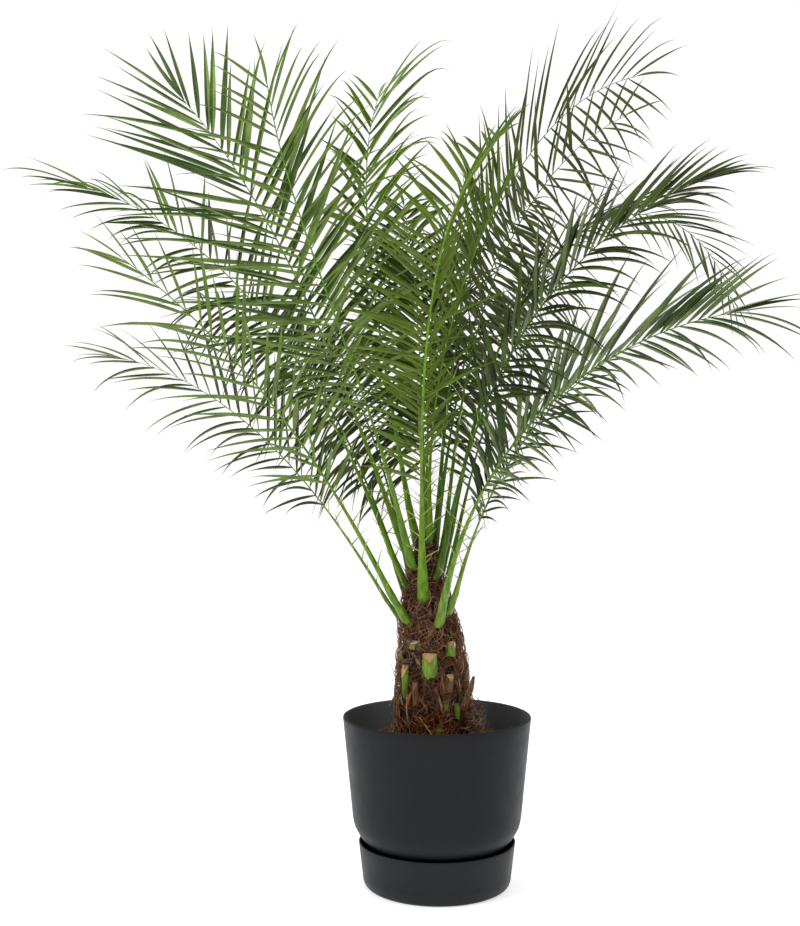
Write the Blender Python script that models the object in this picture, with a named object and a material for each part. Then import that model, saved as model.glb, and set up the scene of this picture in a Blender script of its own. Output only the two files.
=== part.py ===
# Pygmy date palm in a round pot that stands in a deep saucer.
# Metres, Z up. The origin is the centre of the saucer's flat underside, X runs to the right,
# Y runs away from the front. Bearings are degrees from +X towards +Y, so the front is -90.

import math

import bmesh
import bpy
from mathutils import Vector
from mathutils.bvhtree import BVHTree

GAP = 0.0003  # clearance between neighbouring solids
UP = Vector((0.0, 0.0, 1.0))

# saucer
SAUCER_FOOT_RADIUS = 0.105
SAUCER_CORNER_RADIUS = 0.1156
SAUCER_CORNER_HEIGHT = 0.009
SAUCER_RIM_RADIUS = 0.1226
SAUCER_RIM_HEIGHT = 0.069
SAUCER_WALL = 0.003

# pot
POT_FOOT_RADIUS = 0.094
POT_NECK_HEIGHT = 0.050
POT_SHOULDER_HEIGHT = 0.099
POT_SHOULDER_RADIUS = 0.1305
POT_RIM_RADIUS = 0.1475
POT_RIM_HEIGHT = 0.264
POT_WALL = 0.0044
LIP_ROUND = POT_WALL / 2
ROUND_FACES = 48

# soil
SOIL_EDGE_HEIGHT = 0.215
SOIL_TOP_HEIGHT = 0.235
SOIL_MOUND_RADIUS = 0.088

# trunk: (height, lean in X, radius), from the flat cut on the soil to the growing tip
TRUNK_RINGS = (
    (0.2353, -0.003, 0.063),
    (0.262, -0.005, 0.061),
    (0.287, -0.0065, 0.058),
    (0.319, -0.008, 0.0525),
    (0.350, -0.0075, 0.0505),
    (0.382, -0.0095, 0.0455),
    (0.405, -0.0115, 0.0415),
    (0.430, -0.0145, 0.037),
    (0.445, -0.0165, 0.0345),
    (0.476, -0.019, 0.029),
    (0.500, -0.0195, 0.0245),
    (0.523, -0.018, 0.019),
    (0.545, -0.018, 0.012),
)
TRUNK_FACES = 20

# cut leaf bases: (height of the middle, bearing, length, width, outward lean in degrees)
LEAF_BASES = (
    (0.351, -95, 0.038, 0.026, 12),
    (0.374, -53, 0.022, 0.018, 6),
    (0.380, -126, 0.013, 0.028, 10),
    (0.358, -160, 0.020, 0.011, 4),
    (0.324, -137, 0.050, 0.014, 6),
    (0.323, -63, 0.028, 0.014, 10),
    (0.352, -34, 0.020, 0.011, 4),
    (0.309, -42, 0.060, 0.012, 24),
    (0.307, -118, 0.036, 0.012, 8),
    (0.281, -56, 0.024, 0.010, 10),
    (0.291, -72, 0.016, 0.012, 8),
    (0.254, -85, 0.016, 0.010, 8),
    (0.330, 40, 0.040, 0.020, 12),
    (0.375, 60, 0.030, 0.020, 10),
    (0.300, 68, 0.038, 0.020, 14),
    (0.345, 88, 0.040, 0.022, 10),
    (0.290, 112, 0.036, 0.020, 12),
    (0.372, 118, 0.030, 0.018, 10),
    (0.325, 140, 0.042, 0.020, 12),
)
LEAF_BASE_THICK = 0.009

# fronds: where each leaves the trunk (height, side), where it heads (bearing), how long its
# stalk and rib are, how steeply it rises, how far it arches over, how far it swings aside.
# Of a pair of leaflet sizes the first is for the row on the plus side, the second for the other.
FRONDS = (
    dict(height=0.452, side=-98, bearing=-94, length=0.860, rise=69, arch=63, sweep=21,
         bend=1.45, vee=(18, 60), leaf=(0.145, 0.135), tip_leaf=(0.22, 0.55), droop=(0.25, 0.12),
         start=0.22, girth=1.0, shut_angle=(38, 22)),
    dict(height=0.418, side=-146, bearing=-156, length=0.695, rise=62, arch=28, sweep=1,
         bend=1.45, roll=(0, -15), vee=(-5, 20), leaf=(0.215, 0.18), tip_leaf=(0.44, 0.46),
         droop=(0.35, 0.20), start=0.33, girth=1.15, open_angle=(72, 58), shut_angle=(26, 22)),
    dict(height=0.419, side=-69, bearing=-35, length=0.700, rise=81, arch=77, sweep=-5,
         bend=1.0, vee=(-62, 52), leaf=(0.115, 0.222), tip_leaf=(1.65, 0.50), droop=(0.65, 0.25),
         start=0.30, girth=1.15, open_angle=(60, 72), shut_angle=(24, 22), open_power=2.2,
         flatten=0.40),
    dict(height=0.490, side=-45, bearing=-28, length=0.750, rise=79, arch=65, sweep=-4,
         bend=1.5, vee=(-55, 50), leaf=(0.19, 0.205), tip_leaf=(0.60, 0.40), droop=(0.70, 0.12),
         start=0.34, open_angle=(60, 60), shut_angle=(20, 26), open_power=2.0, flatten=0.60),
    dict(height=0.500, side=140, bearing=144, length=0.966, rise=66, arch=21, sweep=3,
         bend=1.9, roll=(30, 40), vee=(34, 5), leaf=(0.262, 0.288), tip_leaf=(0.74, 0.64),
         droop=0.14, start=0.32, open_angle=(58, 72), shut_angle=(18, 10), open_power=2.6),
    dict(height=0.503, side=-139, bearing=-125, length=0.845, rise=73, arch=51, sweep=35,
         bend=0.87, vee=(-10, 42), leaf=(0.17, 0.205), tip_leaf=(0.58, 0.52), droop=(0.25, 0.50),
         start=0.29),
    dict(height=0.535, side=134, bearing=121.5, length=0.965, rise=71, arch=25, sweep=-46,
         bend=1.45, vee=(25, 45), leaf=(0.185, 0.112), tip_leaf=(1.5, 0.80), droop=(0.50, 0.10),
         open_angle=(52, 76), shut_angle=(20, 52), open_power=1.8),
    dict(height=0.533, side=42, bearing=28, length=0.970, rise=86, arch=69, sweep=5,
         bend=1.9, roll=(15, 30), vee=(35, -62), leaf=(0.19, 0.195), tip_leaf=(0.78, 0.60),
         droop=(0.40, 1.9), start=0.30, open_angle=(66, 104), shut_angle=(16, 30)),
    dict(height=0.468, side=158, bearing=159, length=0.938, rise=67.5, arch=50, sweep=1,
         vee=(35, -45), leaf=(0.245, 0.125), tip_leaf=(1.15, 1.0), droop=(0.30, 0.60),
         start=0.30, open_angle=(56, 92), shut_angle=(13, 6), flatten=0.80),
    dict(height=0.410, side=180, bearing=166, length=0.685, rise=58, arch=48, sweep=-8,
         bend=1.7, roll=(0, 10), vee=(34, -30), leaf=(0.225, 0.125), tip_leaf=(0.80, 0.85),
         droop=(0.30, 0.80), start=0.32, girth=0.70, open_angle=(46, 72), shut_angle=(10, 10),
         flatten=0.90),
    dict(height=0.518, side=-6, bearing=16, length=0.813, rise=84, arch=56, sweep=4,
         bend=2.1, roll=(10, 20), vee=(45, -45), leaf=(0.15, 0.19), tip_leaf=(0.60, 0.60),
         droop=(0.20, 0.70), open_angle=(66, 80), shut_angle=(32, 26)),
    dict(height=0.545, side=-60, bearing=-60, length=0.565, rise=98, arch=63, sweep=-7,
         bend=0.98, vee=(50, 60), leaf=(0.13, 0.12), tip_leaf=0.70, droop=0.15, start=0.30,
         girth=0.70, open_angle=62),
    dict(height=0.489, side=25, bearing=33, length=1.100, rise=77, arch=144, sweep=3,
         bend=2.2, roll=(0, -10), vee=(30, -40), leaf=0.185, tip_leaf=0.50, droop=0.60,
         open_angle=38, shut_angle=13),
    dict(height=0.430, side=-38, bearing=-18, length=0.470, rise=76, arch=45, sweep=-1,
         bend=1.4, vee=(-45, 30), leaf=(0.10, 0.13), tip_leaf=(0.50, 0.70), droop=(0.70, 0.40),
         start=0.30, girth=1.0, open_angle=(62, 66)),
    dict(height=0.492, side=66, bearing=62, length=0.850, rise=75, arch=52, sweep=4,
         vee=(-60, 50), leaf=(0.165, 0.19), droop=(1.2, 0.30), start=0.26, open_angle=(90, 66)),
    dict(height=0.470, side=86, bearing=88, length=0.880, rise=67, arch=58, sweep=-4,
         vee=(35, 35), leaf=0.18, start=0.26),
    dict(height=0.430, side=114, bearing=112, length=0.800, rise=60, arch=52, sweep=3,
         vee=(30, -70), droop=(0.40, 1.4), start=0.26, open_angle=(66, 90)),
    dict(height=0.430, side=56, bearing=66, length=0.900, rise=61, arch=48, sweep=-3,
         vee=(-70, 30), droop=(1.4, 0.40), start=0.26, open_angle=(90, 66)),
    dict(height=0.543, side=90, bearing=98, length=0.640, rise=84, arch=44, sweep=0,
         leaf=0.13, start=0.26, girth=0.60),
    dict(height=0.440, side=138, bearing=135, length=0.800, rise=66, arch=58, sweep=0,
         vee=(30, -70), droop=(0.40, 1.4), start=0.26, open_angle=(66, 90)),
)
FROND_DEFAULTS = dict(bend=1.6, roll=(0, 0), vee=10, leaf=0.165, tip_leaf=0.75, droop=0.35,
                      start=0.38, girth=0.9, open_angle=72, shut_angle=26, open_power=1.8,
                      flatten=0.0)
STALK_WIDTH = 0.015  # at the trunk, for girth 1
RIB_WIDTH = 0.0085  # where the leaflets start
RIB_TIP_WIDTH = 0.0036
RIB_FLATNESS = 0.75  # thickness over width
STALK_RINGS = 6
LEAFLETS = 26  # per frond, on alternate sides of the rib
LEAFLET_WIDTH = 0.013
LEAFLET_THICK = 0.0021
LEAFLET_TIP_THICK = 0.0014
LEAFLET_WIDEST = 0.40  # share of the length
CLEAR = 0.0007  # kept around every leaflet
FITS = ((1.0, 0), (1.0, 9), (1.0, -9), (0.82, 0), (0.82, 12), (0.82, -12), (0.62, 0), (0.45, 0))

# the youngest leaf, still folded into a spear
SPEAR_FOOT = Vector((-0.018, 0.0, 0.5455))
SPEAR_LENGTH = 0.30
SPEAR_RADIUS = 0.0042


def add_solid(name, verts, faces, colour):
    """One closed mesh object with faces turned outwards and its own plain material."""
    mesh = bpy.data.meshes.new(name)
    mesh.from_pydata([tuple(v) for v in verts], [], faces)
    work = bmesh.new()
    work.from_mesh(mesh)
    bmesh.ops.recalc_face_normals(work, faces=work.faces)
    work.to_mesh(mesh)
    work.free()
    solid = bpy.data.objects.new(name, mesh)
    bpy.context.scene.collection.objects.link(solid)
    material = bpy.data.materials.new(name)
    material.use_nodes = True
    material.node_tree.nodes["Principled BSDF"].inputs["Base Color"].default_value = (*colour, 1)
    mesh.materials.append(material)
    return solid


def turned(name, outline, colour, faces_round=ROUND_FACES):
    """Solid of revolution about Z. The outline of (radius, height) starts and ends on the axis."""
    verts = [Vector((0, 0, outline[0][1]))]
    for radius, height in outline[1:-1]:
        for i in range(faces_round):
            turn = 2 * math.pi * i / faces_round
            verts.append(Vector((radius * math.cos(turn), radius * math.sin(turn), height)))
    verts.append(Vector((0, 0, outline[-1][1])))
    faces = []
    rings = len(outline) - 2
    for i in range(faces_round):
        j = (i + 1) % faces_round
        faces.append((0, 1 + i, 1 + j))
        for ring in range(rings - 1):
            low = 1 + ring * faces_round
            high = low + faces_round
            faces.append((low + i, high + i, high + j, low + j))
        last = 1 + (rings - 1) * faces_round
        faces.append((len(verts) - 1, last + j, last + i))
    return add_solid(name, verts, faces, colour)


def arc(centre_r, centre_z, radius, start, end, steps):
    """Points of a circular arc in the outline plane, angles in degrees."""
    points = []
    for i in range(steps + 1):
        turn = math.radians(start + (end - start) * i / steps)
        points.append((centre_r + radius * math.cos(turn), centre_z + radius * math.sin(turn)))
    return points


def make_saucer():
    wall_foot = SAUCER_CORNER_RADIUS - SAUCER_WALL
    lip = SAUCER_WALL / 2
    outline = [(0, 0), (SAUCER_FOOT_RADIUS, 0),
               (SAUCER_FOOT_RADIUS + 0.0065, 0.0022), (SAUCER_CORNER_RADIUS, SAUCER_CORNER_HEIGHT)]
    outline += arc(SAUCER_RIM_RADIUS - lip, SAUCER_RIM_HEIGHT - lip, lip, 0, 180, 4)
    outline += [(wall_foot, SAUCER_CORNER_HEIGHT + 0.001),
                (SAUCER_FOOT_RADIUS, SAUCER_WALL), (0, SAUCER_WALL)]
    return turned("saucer", outline, (0.035, 0.037, 0.040))


def pot_shell(inset, floor):
    """The pot's outside, or its inside when inset by the wall, from the floor to the lip's foot."""
    rim_z = POT_RIM_HEIGHT - LIP_ROUND
    return [(POT_FOOT_RADIUS - inset, floor),
            (POT_FOOT_RADIUS + 0.001 - inset, POT_NECK_HEIGHT),
            (0.100 - inset, 0.060), (0.113 - inset, 0.070), (0.1215 - inset, 0.080),
            (POT_SHOULDER_RADIUS - inset, POT_SHOULDER_HEIGHT),
            (POT_RIM_RADIUS - inset, rim_z)]


def make_pot():
    foot = SAUCER_WALL + GAP
    outline = [(0, foot)] + pot_shell(0, foot)[:-1]
    outline += arc(POT_RIM_RADIUS - LIP_ROUND, POT_RIM_HEIGHT - LIP_ROUND, LIP_ROUND, 0, 180, 4)
    inside = pot_shell(POT_WALL, foot + POT_WALL)[:-1]
    outline += inside[::-1] + [(0, foot + POT_WALL)]
    return turned("pot", outline, (0.035, 0.037, 0.040))


def make_soil():
    wall = pot_shell(POT_WALL + GAP, SAUCER_WALL + POT_WALL + 2 * GAP)
    shoulder, rim = wall[-2], wall[-1]
    share = (SOIL_EDGE_HEIGHT - shoulder[1]) / (rim[1] - shoulder[1])
    edge_radius = shoulder[0] + share * (rim[0] - shoulder[0])
    outline = [(0, wall[0][1])] + wall[:-1] + [(edge_radius, SOIL_EDGE_HEIGHT)]
    outline += [(0.112, 0.2245), (SOIL_MOUND_RADIUS, SOIL_TOP_HEIGHT), (0, SOIL_TOP_HEIGHT)]
    return turned("soil", outline, (0.12, 0.06, 0.035))


def trunk_at(height):
    """Centre in X and radius of the trunk at a height."""
    for (z0, x0, r0), (z1, x1, r1) in zip(TRUNK_RINGS, TRUNK_RINGS[1:]):
        if height <= z1:
            share = max(0.0, (height - z0) / (z1 - z0))
            return x0 + share * (x1 - x0), r0 + share * (r1 - r0)
    return TRUNK_RINGS[-1][1:]


def make_trunk():
    verts = []
    for height, lean, radius in TRUNK_RINGS:
        for i in range(TRUNK_FACES):
            turn = 2 * math.pi * i / TRUNK_FACES
            verts.append(Vector((lean + radius * math.cos(turn), radius * math.sin(turn), height)))
    faces = [tuple(range(TRUNK_FACES))]
    for ring in range(len(TRUNK_RINGS) - 1):
        low = ring * TRUNK_FACES
        for i in range(TRUNK_FACES):
            j = (i + 1) % TRUNK_FACES
            faces.append((low + i, low + j, low + TRUNK_FACES + j, low + TRUNK_FACES + i))
    faces.append(tuple(range(len(verts) - TRUNK_FACES, len(verts))))
    return add_solid("trunk", verts, faces, (0.10, 0.045, 0.025))


def make_leaf_base(number, height, bearing, length, width, lean):
    """A cut stub of an old leaf stalk: flat against the trunk, ridged outside, notched on top."""
    out = Vector((math.cos(math.radians(bearing)), math.sin(math.radians(bearing)), 0))
    along = UP.cross(out)
    tilt = math.radians(lean)
    axis = UP * math.cos(tilt) + out * math.sin(tilt)
    foot_height = height - length / 2
    centre_x, radius = trunk_at(foot_height)
    foot = Vector((centre_x, 0, foot_height)) + out * (radius + GAP + 0.0002)
    section = ((-0.5, 0.0), (0.5, 0.0), (0.42, 0.6), (0.0, 1.0), (-0.42, 0.6))
    verts = []
    for share, wide, thick in ((0.0, 0.7, 0.55), (0.45, 1.0, 1.0), (1.0, 0.82, 0.8)):
        for across, outwards in section:
            sink = 0.10 * length * outwards if share == 1.0 else 0.0
            verts.append(foot + axis * (length * share - sink) + along * (across * width * wide)
                         + out * (outwards * LEAF_BASE_THICK * thick))
    sides = len(section)
    faces = [tuple(range(sides)), tuple(range(2 * sides, 3 * sides))]
    for ring in (0, sides):
        for i in range(sides):
            j = (i + 1) % sides
            faces.append((ring + i, ring + j, ring + sides + j, ring + sides + i))
    return add_solid(f"leaf_base_{number:02d}", verts, faces, (0.20, 0.26, 0.06))


def rib_width(frond, s):
    """Width of stalk and rib at a share s of their length."""
    if s < 0.12:
        width = STALK_WIDTH + (0.0105 - STALK_WIDTH) * s / 0.12
    elif s < frond["start"]:
        width = 0.0105 + (RIB_WIDTH - 0.0105) * (s - 0.12) / (frond["start"] - 0.12)
    else:
        share = (s - frond["start"]) / (1 - frond["start"])
        width = RIB_WIDTH + (RIB_TIP_WIDTH - RIB_WIDTH) * share
    return max(width * frond["girth"], RIB_TIP_WIDTH)


def spread(share):
    """The leaflets stand closer together near the foot of the blade than near its tip."""
    return 0.75 * share + 0.25 * share ** 3


def row_value(frond, key, side):
    """A leaflet size of the row on this side of the rib."""
    value = frond[key]
    if isinstance(value, tuple):
        return value[0] if side > 0 else value[1]
    return value


def frond_stations(frond):
    """Points along the rib with their tangent, sideways and upper directions and width."""
    start = frond["start"]
    shares = [start * i / STALK_RINGS for i in range(STALK_RINGS)]
    shares += [start + (1 - start) * spread(i / LEAFLETS) for i in range(LEAFLETS + 1)]
    side = math.radians(frond["side"])
    centre_x, radius = trunk_at(frond["height"])
    half_width = rib_width(frond, 0) / 2
    askew = abs(math.sin(math.radians(frond["side"] - frond["bearing"])))
    reach = radius + GAP + 0.0006 + half_width * (RIB_FLATNESS + askew)
    point = Vector((centre_x + reach * math.cos(side), reach * math.sin(side), frond["height"]))
    stations = []
    fine = 240
    step = frond["length"] / fine
    done = 0
    for s in shares:
        while done < round(s * fine):
            middle = (done + 0.5) / fine
            point = point + heading(frond, middle)[0] * step
            done += 1
        tangent, across, upper = heading(frond, s)
        stations.append((point.copy(), tangent, across, upper, s))
    return stations


def heading(frond, s):
    """Tangent, sideways and upper directions of a frond at a share s of its length."""
    climb = math.radians(frond["rise"] - frond["arch"] * s ** frond["bend"])
    turn = math.radians(frond["bearing"] + frond["sweep"] * s ** 1.3)
    tangent = Vector((math.cos(climb) * math.cos(turn), math.cos(climb) * math.sin(turn),
                      math.sin(climb)))
    level = Vector((math.sin(turn), -math.cos(turn), 0))
    upright = level.cross(tangent)
    roll = math.radians(frond["roll"][0] + (frond["roll"][1] - frond["roll"][0]) * s)
    across = level * math.cos(roll) + upright * math.sin(roll)
    upper = upright * math.cos(roll) - level * math.sin(roll)
    return tangent, across, upper


def rib_mesh(frond, stations):
    """Four-sided tapering rib from the trunk to the frond's tip, as vertices and faces."""
    verts = []
    for point, _, across, upper, s in stations:
        half_width = rib_width(frond, s) / 2
        half_thick = half_width * RIB_FLATNESS
        for wide, thick in ((-1, 1), (1, 1), (1, -1), (-1, -1)):
            verts.append(point + across * (wide * half_width) + upper * (thick * half_thick))
    faces = [(0, 1, 2, 3)]
    for ring in range(len(stations) - 1):
        low = 4 * ring
        for i in range(4):
            j = (i + 1) % 4
            faces.append((low + i, low + j, low + 4 + j, low + 4 + i))
    return verts, faces


def leaflet_line(frond, station, side, u, length, lift):
    """Widest point and tip of a leaflet that opens from the rib and droops along its length."""
    point, tangent, across, upper, _ = station
    wide_open = row_value(frond, "open_angle", side)
    shut = row_value(frond, "shut_angle", side)
    open_by = math.radians(wide_open + (shut - wide_open) * u ** frond["open_power"])
    vee = math.radians(row_value(frond, "vee", side) * (1 - frond["flatten"] * u ** 3) + lift)
    droop = row_value(frond, "droop", side)
    outwards = across * (side * math.cos(vee)) + upper * math.sin(vee)
    first = (tangent * math.cos(open_by) + outwards * math.sin(open_by)).normalized()
    steps = 10
    spot = point.copy()
    widest = None
    for i in range(steps):
        share = (i + 0.5) / steps
        spot = spot + (first - UP * (droop * share ** 1.5)).normalized() * (length / steps)
        if widest is None and (i + 1) / steps >= LEAFLET_WIDEST:
            widest = spot.copy()
    return first, widest, spot


def leaflet_rings(station, first, widest, tip, grow):
    """Corners of a leaflet beyond its root: four at its widest and two at its tip."""
    _, tangent, _, upper, _ = station
    wide = (tangent - first * tangent.dot(first)).normalized()
    thick = (upper - first * upper.dot(first) - wide * upper.dot(wide)).normalized()
    half_width = LEAFLET_WIDTH / 2 + grow
    half_thick = LEAFLET_THICK / 2 + grow
    tip_thick = LEAFLET_TIP_THICK / 2 + grow
    return [widest - wide * half_width + thick * half_thick,
            widest + wide * half_width + thick * half_thick,
            widest + wide * half_width - thick * half_thick,
            widest - wide * half_width - thick * half_thick,
            tip + thick * tip_thick,
            tip - thick * tip_thick]


LEAFLET_FACES = ((0, 1, 5, 4), (1, 2, 6, 5), (2, 3, 7, 6), (3, 0, 4, 7),
                 (4, 5, 8), (5, 6, 9, 8), (6, 7, 9), (7, 4, 8, 9))


def leaflet_length(frond, u, side):
    """Short at the foot of the blade, longest at a third, shorter again at the tip."""
    swell = 0.62 + 0.38 * min(1.0, u / 0.3)
    fade = 1 - (1 - row_value(frond, "tip_leaf", side)) * max(0.0, (u - 0.5) / 0.5) ** 1.4
    return row_value(frond, "leaf", side) * swell * fade


def fits(corners, others):
    """Whether a slightly grown leaflet stays clear of everything that is already there."""
    tree = BVHTree.FromPolygons(corners, LEAFLET_FACES)
    return not tree.overlap(others)


def make_frond(number, frond, stations, rib, others):
    """Rib with leaflets grown from its side faces. One that finds no room is left out."""
    verts, faces = list(rib[0]), list(rib[1])
    for leaf in range(LEAFLETS):
        ring = STALK_RINGS + leaf
        side = 1 if leaf % 2 == 0 else -1
        u = spread((leaf + 0.5) / LEAFLETS)
        low, high = 4 * ring, 4 * ring + 4
        face = (low + 1, high + 1, high + 2, low + 2) if side > 0 else (low, high, high + 3, low + 3)
        root = [verts[i] for i in face]
        station = (sum(root, Vector()) / 4, *stations[ring][1:])
        for share, lift in FITS:
            length = leaflet_length(frond, u, side) * share
            first, widest, tip = leaflet_line(frond, station, side, u, length, lift)
            grown = [corner + first * 0.003 for corner in root]
            grown += leaflet_rings(station, first, widest, tip, CLEAR)
            if fits(grown, others):
                count = len(verts)
                verts += leaflet_rings(station, first, widest, tip, 0)
                corners = [*face, *range(count, count + 6)]
                sunk = {tuple(sorted(face))}
                faces = [f for f in faces if tuple(sorted(f)) not in sunk]
                faces += [tuple(corners[i] for i in f) for f in LEAFLET_FACES]
                break
    end = 4 * (len(stations) - 1)
    tangent, across, upper = stations[-1][1:4]
    tip = stations[-1][0] + (tangent - UP * 0.1).normalized() * leaflet_length(frond, 1, -1) * 0.8
    verts += [tip + upper * (LEAFLET_TIP_THICK / 2), tip - upper * (LEAFLET_TIP_THICK / 2)]
    top, bottom = len(verts) - 2, len(verts) - 1
    faces += [(end, end + 1, top), (end + 1, end + 2, bottom, top),
              (end + 2, end + 3, bottom), (end + 3, end, top, bottom)]
    add_solid(f"frond_{number:02d}", verts, faces, (0.06, 0.16, 0.03))
    return verts, faces


def make_spear():
    """The folded young leaf: a slim five-sided spindle that leans a little to the left."""
    lean = Vector((-0.04, 0.02, 1.0)).normalized()
    side = Vector((1, 0, 0))
    back = lean.cross(side).normalized()
    verts = []
    for share, wide in ((0.0, 0.8), (0.3, 1.0), (0.75, 0.6), (1.0, 0.2)):
        for i in range(5):
            turn = 2 * math.pi * i / 5
            ring = side * math.cos(turn) + back * math.sin(turn)
            verts.append(SPEAR_FOOT + lean * (SPEAR_LENGTH * share) + ring * (SPEAR_RADIUS * wide))
    faces = [tuple(range(5)), tuple(range(15, 20))]
    for ring in (0, 5, 10):
        for i in range(5):
            j = (i + 1) % 5
            faces.append((ring + i, ring + j, ring + 5 + j, ring + 5 + i))
    return add_solid("spear", verts, faces, (0.25, 0.30, 0.10))


def join_lists(pieces):
    """Vertices and faces of several meshes in one pair of lists."""
    verts, faces = [], []
    for piece_verts, piece_faces in pieces:
        base = len(verts)
        verts += piece_verts
        faces += [tuple(base + i for i in face) for face in piece_faces]
    return verts, faces


def object_lists(solid):
    return ([v.co.copy() for v in solid.data.vertices],
            [tuple(face.vertices) for face in solid.data.polygons])


def make_fronds(obstacles):
    """All ribs first, then the leaflets frond by frond, each clear of all that is there."""
    fronds = [{**FROND_DEFAULTS, **frond} for frond in FRONDS]
    stations = [frond_stations(frond) for frond in fronds]
    built = [rib_mesh(frond, line) for frond, line in zip(fronds, stations)]
    for i, frond in enumerate(fronds):
        around = [mesh for j, mesh in enumerate(built) if j != i] + obstacles
        others = BVHTree.FromPolygons(*join_lists(around))
        built[i] = make_frond(i + 1, frond, stations[i], built[i], others)


def main():
    for name in ("Cube", "Light", "Camera"):
        if name in bpy.data.objects:
            bpy.data.objects.remove(bpy.data.objects[name], do_unlink=True)
    make_saucer()
    pot = make_pot()
    soil = make_soil()
    trunk = make_trunk()
    for number, sizes in enumerate(LEAF_BASES, 1):
        make_leaf_base(number, *sizes)
    spear = make_spear()
    make_fronds([object_lists(solid) for solid in (pot, soil, trunk, spear)])


main()
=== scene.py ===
# Pygmy date palm in a round plastic planter that stands in its deep saucer.
# Metres, Z up, the front towards -Y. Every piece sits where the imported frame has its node.
import random
from math import cos, pi, radians, sin, sqrt

import bmesh
import bpy
import numpy as np
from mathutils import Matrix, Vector, noise


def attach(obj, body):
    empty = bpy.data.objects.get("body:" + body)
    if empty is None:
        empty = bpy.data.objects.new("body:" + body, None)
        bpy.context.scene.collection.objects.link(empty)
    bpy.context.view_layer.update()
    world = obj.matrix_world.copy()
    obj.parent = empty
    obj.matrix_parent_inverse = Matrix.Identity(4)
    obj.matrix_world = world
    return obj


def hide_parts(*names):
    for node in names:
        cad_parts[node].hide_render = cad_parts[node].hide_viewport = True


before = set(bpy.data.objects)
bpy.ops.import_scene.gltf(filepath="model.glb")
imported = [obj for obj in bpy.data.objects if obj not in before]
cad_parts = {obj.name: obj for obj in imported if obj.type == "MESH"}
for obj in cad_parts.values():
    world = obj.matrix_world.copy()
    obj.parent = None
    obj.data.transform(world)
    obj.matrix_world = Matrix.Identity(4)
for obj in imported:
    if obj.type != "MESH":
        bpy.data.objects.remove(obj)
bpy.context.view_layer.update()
up = Vector((0.0, 0.0, 1.0))
print("frame with", len(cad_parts), "nodes")


def linearColour(code):
    parts = [int(code[i:i + 2], 16) / 255 for i in (1, 3, 5)]
    return (*[p / 12.92 if p <= 0.04045 else ((p + 0.055) / 1.055) ** 2.4 for p in parts], 1.0)


def setInputs(tree, node, inputs):
    # an input is a number, a hex colour or the output of another node
    for socket, value in inputs.items():
        if isinstance(value, bpy.types.NodeSocket):
            tree.links.new(value, node.inputs[socket])
        else:
            node.inputs[socket].default_value = linearColour(value) if isinstance(value, str) else value


def addNode(tree, kind, inputs=None, settings=None):
    # gives back the new node's outputs
    node = tree.nodes.new("ShaderNode" + kind)
    for name, value in (settings or {}).items():
        setattr(node, name, value)
    setInputs(tree, node, inputs or {})
    return node.outputs


def newMaterial(name, roughness, specular, ior=1.45):
    material = bpy.data.materials.new(name)
    material.use_nodes = True
    shader = material.node_tree.nodes["Principled BSDF"]
    setInputs(material.node_tree, shader,
              {"Roughness": roughness, "IOR": ior, "Specular IOR Level": specular})
    return material, material.node_tree, shader


def patchy(tree, vector, size, detail=3.0, low=0.35, high=0.65):
    # a pattern of soft patches from 0 to 1, size in metres across
    cloud = addNode(tree, "TexNoise", {"Scale": 1 / size, "Detail": detail, "Vector": vector})
    return addNode(tree, "MapRange", {"From Min": low, "From Max": high, "Value": cloud["Fac"]})[0]


colourMix = {"data_type": "RGBA"}  # a Mix node takes its colours in sockets 6 and 7 and gives output 2


def makeMottled(name, dark, light, look, **own):
    # two colours in patches over a fine bump: patch and grain are a size in metres and a level of detail
    look = {"ior": 1.45, **look, **own}
    material, tree, shader = newMaterial(name, look["roughness"], look["specular"], look["ior"])
    here = addNode(tree, "TexCoord")["Object"]
    along = here
    if "squeeze" in look:  # patches drawn out into streaks up the piece
        along = addNode(tree, "Mapping", {"Scale": (1, 1, look["squeeze"]), "Vector": here})[0]
    patches = patchy(tree, along, *look["patch"])
    tint = addNode(tree, "Mix", {0: patches, 6: dark, 7: light}, colourMix)[2]
    if "rust" in look:
        freckles = patchy(tree, here, *look["freckles"])
        tint = addNode(tree, "Mix", {0: freckles, 6: tint, 7: look["rust"]}, colourMix)[2]
    if "worn" in look:  # streaks of handling, glossier and duller
        size, detail, gloss, dull = look["worn"]
        streak = addNode(tree, "TexNoise", {"Scale": 1 / size, "Detail": detail, "Vector": here})
        worn = addNode(tree, "MapRange", {"From Min": 0.3, "From Max": 0.7, "Value": streak["Fac"],
                                          "To Min": gloss, "To Max": dull})
        setInputs(tree, shader, {"Roughness": worn[0]})
    size, detail = look["grain"]
    grain = addNode(tree, "TexNoise", {"Scale": 1 / size, "Detail": detail, "Vector": along})
    bump = addNode(tree, "Bump", {"Strength": 1.0, "Distance": look["depth"], "Height": grain["Fac"]})
    setInputs(tree, shader, {"Base Color": tint, "Normal": bump[0]})
    return material


def pick(piece, kind, test):
    # in edit mode: only the verts, edges or faces that pass the test stay selected
    bpy.ops.mesh.select_mode(type=kind)
    bpy.ops.mesh.select_all(action="DESELECT")
    shape = bmesh.from_edit_mesh(piece.data)
    for part in {"VERT": shape.verts, "EDGE": shape.edges, "FACE": shape.faces}[kind]:
        if test(part):
            part.select_set(True)
    shape.select_flush_mode()
    bmesh.update_edit_mesh(piece.data)


def meshPiece(name, verts, faces, shades, meshName=None):
    mesh = bpy.data.meshes.new(meshName or name)
    mesh.from_pydata(verts, [], faces)
    mesh.polygons.foreach_set("material_index", shades)
    piece = bpy.data.objects.new(name, mesh)
    bpy.context.scene.collection.objects.link(piece)
    return piece


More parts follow.
